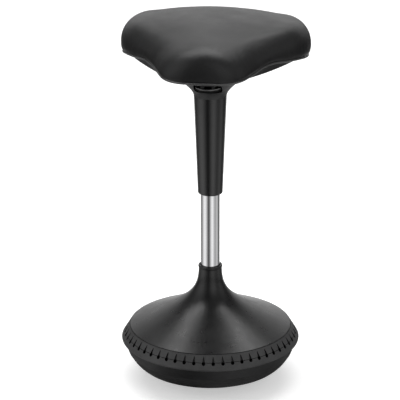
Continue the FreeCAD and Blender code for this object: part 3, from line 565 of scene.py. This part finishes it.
# Painted highlight: the lip's skin is lighter than the foam's, standing in for the bright line along its
# lower edge
lipHighlightLook = dict(skinLook, specular=0.9, dark=(0.03, 0.03, 0.0305), light=(0.05, 0.05, 0.0505))
looks["lipSkinHighlight"] = foamSkin("lipSkinHighlight", lipHighlightLook)

nodeLooks = {
    "base_cover": "coverPlastic", "toothed_ring": "bandPlastic", "socket_ring": "bandPlastic",
    "base_shell": "shellPlastic", "sole": "soleRubber", "ballast": "castIron", "hub_socket": "powderCoat",
    "hub_bolts": "zincSteel", "cover_screws": "zincSteel", "outer_tube": "chromeTube",
    "guide_bush": "whitePlastic", "dust_ring": "sealRubber", "lower_race": "bearingSteel",
    "piston_rod": "bearingSteel", "piston": "whitePlastic", "upper_race": "bearingSteel",
    "bumper": "sealRubber", "retaining_clip": "bearingSteel", "ball_cage": "bearingSteel",
    "pressure_tube": "powderCoat", "rod_seal": "sealRubber", "valve_body": "whitePlastic",
    "release_pin": "bearingSteel", "column": "columnPlastic", "column_bush": "whitePlastic",
    "seat_collar": "collarPlastic", "seat_bracket": "powderCoat", "pivot_pin": "zincSteel",
    "release_lever": "leverPlasticPaintedRim", "seat_pan": "panPlastic", "pan_screws": "zincSteel",
    "plate_bolts": "zincSteel", "seat_board": "birchPly", "cushion": "foamSkin",
}


def dress(mesh, lookName):
    mesh.materials.clear()
    mesh.materials.append(looks[lookName])


for nodeName, lookName in nodeLooks.items():
    dress(nodes[nodeName].data, lookName)
print("materials made:", len(looks))


# Cushion: the moulded pad over the pan, swollen a little by its foam

pad = {
    "voxel": 0.0045,
    "smoothing": 14,
    "underside": (0.1, 0.5),  # downward slopes between which smoothing moves the foam less and less
    "lean": 0.4,  # how far the sides lean in at the nose
    "leanDepth": 0.05,  # depth below the top from where they do
    "leanRange": (-0.14, 0.06),  # along the seat, from fully to not at all
    "lobeLift": 0.002,  # how much fuller the rear lobes are
    "lobeSides": (0.03, 0.13),  # where they swell: out from the middle, from the front, up to the back
    "lobeFront": (-0.04, 0.09),
    "lobeBack": (0.13, 0.18),
    "nosePasses": 30,  # extra rounding of the nose
    "noseEnd": -0.07,
    "noseDepth": 0.058,  # depth below the crown down to which it is rounded
    "edgeReach": 0.026,  # zone above the lower edge that hangs over the pan
    "edgeDrop": 0.0068,
    "edgeOut": 0.0005,
    "edgePasses": 3,
    "noseHang": (0.05, 0.095),  # where the edge hangs: along the nose, and out to the ends of the lobes
    "noseHangMost": 0.55,
    "lobeHang": (0.125, 0.15),
    "loopSteps": 180,  # directions in which the lower edge is looked for
    "loopOut": 0.5,  # what counts there: lying further out, and lying lower
    "loopDown": 0.87,
    "loopPasses": 4,
    "pressure": 4.0,
    "stiffness": 40.0,
    "bending": 2.0,
    "quality": 5,
    "frames": 20,
    "swellMost": 0.0018,  # how far the foam may push its skin out
    "swellSlope": (-0.4, 0.1),  # slopes of the skin, from where it is held to where it is free
    "calming": 14,  # passes that even out the swell
}


def copyOfNode(nodeName, pieceName):
    mesh = nodes[nodeName].data.copy()
    mesh.name = pieceName
    bm = bmesh.new()
    bm.from_mesh(mesh)
    bmesh.ops.remove_doubles(bm, verts=bm.verts, dist=0.00002)
    bmesh.ops.recalc_face_normals(bm, faces=bm.faces)
    bm.to_mesh(mesh)
    bm.free()
    piece = bpy.data.objects.new(pieceName, mesh)
    scene.collection.objects.link(piece)
    return piece


def applyModifiers(piece):
    graph = bpy.context.evaluated_depsgraph_get()
    result = bpy.data.meshes.new_from_object(piece.evaluated_get(graph))
    piece.modifiers.clear()
    piece.data = result


def shadeSmooth(mesh):
    for polygon in mesh.polygons:
        polygon.use_smooth = True


def smoothVerts(bm, verts, passes):
    for _ in range(passes):
        bmesh.ops.smooth_vert(bm, verts=verts, factor=0.5, use_axis_x=True, use_axis_y=True, use_axis_z=True)


# From 0 to 1 over a range, with soft ends
def softStep(value, start, end):
    share = max(0.0, min(1.0, (value - start) / (end - start)))
    return share * share * (3 - 2 * share)


# Value at a place, from a short list of places and values
def alongList(rows, place):
    if place <= rows[0][0]:
        return rows[0][1]
    for (start, first), (end, second) in zip(rows, rows[1:]):
        if place <= end:
            return first + (second - first) * (place - start) / (end - start)
    return rows[-1][1]


# Height of the top along the seat, in short steps
def topLine(bm, step=0.004):
    tops = {}
    for vert in bm.verts:
        key = round(vert.co.y / step)
        tops[key] = max(tops.get(key, -1.0), vert.co.z)
    return sorted((key * step, top) for key, top in tops.items())


# The sides of a saddle lean in towards its crest, most at the nose, and its rear lobes swell
def leanSides(bm, values):
    tops = topLine(bm)
    for vert in bm.verts:
        x, y, z = vert.co
        rise = softStep(z - alongList(tops, y), -values["leanDepth"], 0.0)
        vert.co.x *= 1.0 - values["lean"] * (1.0 - softStep(y, *values["leanRange"])) * rise
        lobe = softStep(abs(x), *values["lobeSides"]) * softStep(y, *values["lobeFront"])
        lobe *= 1.0 - softStep(y, *values["lobeBack"])
        vert.co.z += values["lobeLift"] * lobe * rise


# The lower edge of the foam: in each direction from the middle, the vertex furthest out and down
def lowerLoop(verts, values):
    steps = values["loopSteps"]
    best = {}
    for vert in verts:
        x, y, z = vert.co
        key = int((math.atan2(y, x) / (2 * math.pi) + 1.0) * steps) % steps
        score = values["loopOut"] * math.hypot(x, y) - values["loopDown"] * z
        if key not in best or score > best[key][0]:
            best[key] = (score, vert.co.copy())
    loop = [best[key][1] for key in sorted(best)]
    for _ in range(values["loopPasses"]):
        loop = [(loop[i - 1] + loop[i] * 2 + loop[(i + 1) % len(loop)]) / 4 for i in range(len(loop))]
    return loop


# How near each vertex is to the lower edge: 1 on the edge, 0 beyond the reach
def edgeShares(verts, loop, reach):
    edge = KDTree(len(loop))
    for index, place in enumerate(loop):
        edge.insert(place, index)
    edge.balance()
    return [1.0 - softStep(edge.find(vert.co)[2], 0.0, reach) for vert in verts]


def hangShare(place, values):
    nose = values["noseHangMost"] * softStep(-place.y, *values["noseHang"])
    return max(nose, softStep(abs(place.x), *values["lobeHang"]))


# The foam hangs over the pan's edge at the nose and under the ends of the rear lobes
def hangEdge(bm, shares, values):
    drop = Vector((0.0, 0.0, values["edgeDrop"]))
    for vert, near in zip(bm.verts, shares):
        away = Vector((vert.co.x, vert.co.y, 0.0)).normalized()
        vert.co += (away * values["edgeOut"] - drop) * near * hangShare(vert.co, values)


# Shapes the even mesh of the foam. Returns its lower edge and how free each vertex is to swell
def shapeFoam(bm, values):
    loop = lowerLoop(bm.verts, values)
    leanSides(bm, values)
    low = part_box("cushion")[1][2] - values["noseDepth"]
    nose = [v for v in bm.verts if v.co.y < values["noseEnd"] and v.co.z > low]
    bm.normal_update()
    under = [v for v in bm.verts if -v.normal.z > values["underside"][0]]
    kept = [(v, v.co.copy(), softStep(-v.normal.z, *values["underside"])) for v in under]
    smoothVerts(bm, nose, values["nosePasses"])
    smoothVerts(bm, bm.verts, values["smoothing"])
    for vert, before, share in kept:
        vert.co = vert.co.lerp(before, share)
    near = edgeShares(bm.verts, loop, values["edgeReach"])
    hangEdge(bm, near, values)
    smoothVerts(bm, bm.verts, values["edgePasses"])
    bm.normal_update()
    free = [(1.0 - share) * softStep(v.normal.z, *values["swellSlope"]) for v, share in zip(bm.verts, near)]
    return lowerLoop(bm.verts, values), free


# The foam's pressure swells the skin. The swell is kept small and even, and the lower edge stays held
def swellFoam(piece, free, beside, values):
    rest = [v.co.copy() for v in piece.data.vertices]
    cloth = piece.modifiers.new("foam", "CLOTH")
    cloth.settings.quality = values["quality"]
    cloth.settings.use_pressure = True
    cloth.settings.uniform_pressure_force = values["pressure"]
    cloth.settings.effector_weights.gravity = 0.0
    cloth.settings.tension_stiffness = values["stiffness"]
    cloth.settings.compression_stiffness = values["stiffness"]
    cloth.settings.bending_stiffness = values["bending"]
    cloth.point_cache.frame_start = 1
    cloth.point_cache.frame_end = values["frames"]
    for step in range(1, values["frames"] + 1):
        scene.frame_set(step)
    applyModifiers(piece)
    scene.frame_set(1)
    moves = []
    for vert, before, share in zip(piece.data.vertices, rest, free):
        move = vert.co - before
        moves.append(move * min(1.0, values["swellMost"] / max(move.length, 1e-9)) * share)
    for _ in range(values["calming"]):
        moves = [sum((moves[index] for index in indices), Vector()) / len(indices) for indices in beside]
    for vert, before, move, share in zip(piece.data.vertices, rest, moves, free):
        vert.co = before + move * share


# Returns the cushion and its lower edge
def makeCushion(values):
    piece = copyOfNode("cushion", "seatCushion")
    remesh = piece.modifiers.new("voxels", "REMESH")
    remesh.mode = "VOXEL"
    remesh.voxel_size = values["voxel"]
    applyModifiers(piece)
    bm = bmesh.new()
    bm.from_mesh(piece.data)
    loop, free = shapeFoam(bm, values)
    beside = [[edge.other_vert(v).index for edge in v.link_edges] for v in bm.verts]
    bm.to_mesh(piece.data)
    bm.free()
    swellFoam(piece, free, beside, values)
    rounder = piece.modifiers.new("rounder", "SUBSURF")
    rounder.levels = rounder.render_levels = 1
    shadeSmooth(piece.data)
    dress(piece.data, "foamSkin")
    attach(piece, "seat")
    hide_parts("cushion")
    return piece, loop


cushion, edgeLoop = makeCushion(pad)
print("cushion made:", len(cushion.data.polygons), "faces")


# Lip: the rolled edge of the foam's skin, where the cushion closes on the pan; its lighter skin is a painted
# highlight along that edge

lip = {
    "radius": 0.0021,
    "outwards": 0.0012,
    "drop": 0.0005,
    "order": 3,  # how softly its line follows the foam's edge
    "steps": 3,  # along each stretch of the line, and around its section
}


# Places for the middle of the lip, a little outside and below the foam's edge
def lipLine(loop, values):
    middle = sum(loop, Vector()) / len(loop)
    drop = Vector((0.0, 0.0, values["drop"]))
    places = []
    for index, place in enumerate(loop):
        along = loop[(index + 1) % len(loop)] - loop[index - 1]
        away = Vector((along.y, -along.x, 0.0)).normalized()
        if away.dot(place - middle) < 0:
            away = -away
        places.append(place + away * values["outwards"] - drop)
    return places


def makeLip(loop, values):
    curve = bpy.data.curves.new("cushionLip", "CURVE")
    curve.dimensions = "3D"
    curve.bevel_depth = values["radius"]
    curve.bevel_resolution = values["steps"]
    curve.resolution_u = values["steps"]
    spline = curve.splines.new("NURBS")
    spline.points.add(len(loop) - 1)
    for point, place in zip(spline.points, lipLine(loop, values)):
        point.co = (*place, 1.0)
    spline.use_cyclic_u = True
    spline.order_u = values["order"]
    drawn = bpy.data.objects.new("cushionLipLine", curve)
    scene.collection.objects.link(drawn)
    mesh = bpy.data.meshes.new_from_object(drawn.evaluated_get(bpy.context.evaluated_depsgraph_get()))
    bpy.data.objects.remove(drawn)
    piece = bpy.data.objects.new("cushionLip", mesh)
    scene.collection.objects.link(piece)
    shadeSmooth(mesh)
    dress(mesh, "lipSkinHighlight")
    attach(piece, "seat")
    return piece


cushionLip = makeLip(edgeLoop, lip)
print("lip made:", len(cushionLip.data.polygons), "faces")
